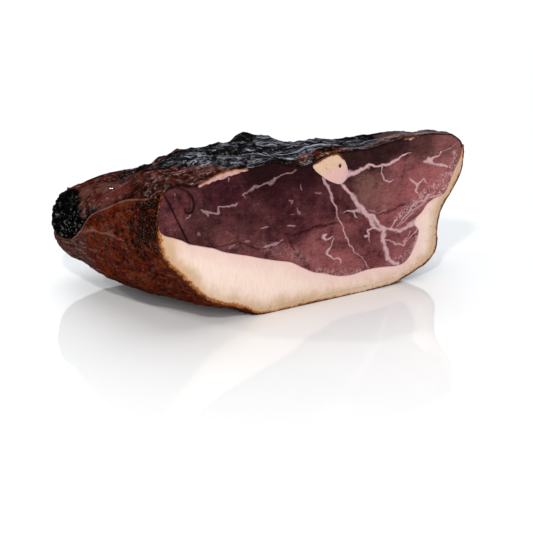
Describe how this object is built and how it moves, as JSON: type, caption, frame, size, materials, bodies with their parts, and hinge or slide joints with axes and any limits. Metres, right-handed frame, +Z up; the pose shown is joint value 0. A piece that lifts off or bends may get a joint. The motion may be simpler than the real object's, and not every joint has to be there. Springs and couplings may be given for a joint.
{
  "type": "mangalitsa ham",
  "caption": "Boneless smoked ham piece with a flat cut face showing marbled lean over thick fat, a dark dried crust on top, brown rind below and a blunt black end.",
  "frame": {"origin": "under the middle of the ham's box, on the surface that it lies on", "axes": "+X along the cut face, towards its higher right end as seen from the cut side; +Y from the cut face back into the ham, so that the cut face looks towards -Y; +Z up"},
  "size_m": [0.2718, 0.15, 0.1162],
  "materials": {
    "lean": "cured lean, matt on the cut, with a dark wrinkled smoked crust",
    "fat": "firm cream and pink fat with a glossy red-brown smoked rind",
    "seam": "soft pinkish seam fat, satin"
  },
  "bodies": {
    "root": {"lean_meat": "lean", "fat_layer": "fat", "seam_fat": "seam"}
  },
  "joints": []
}
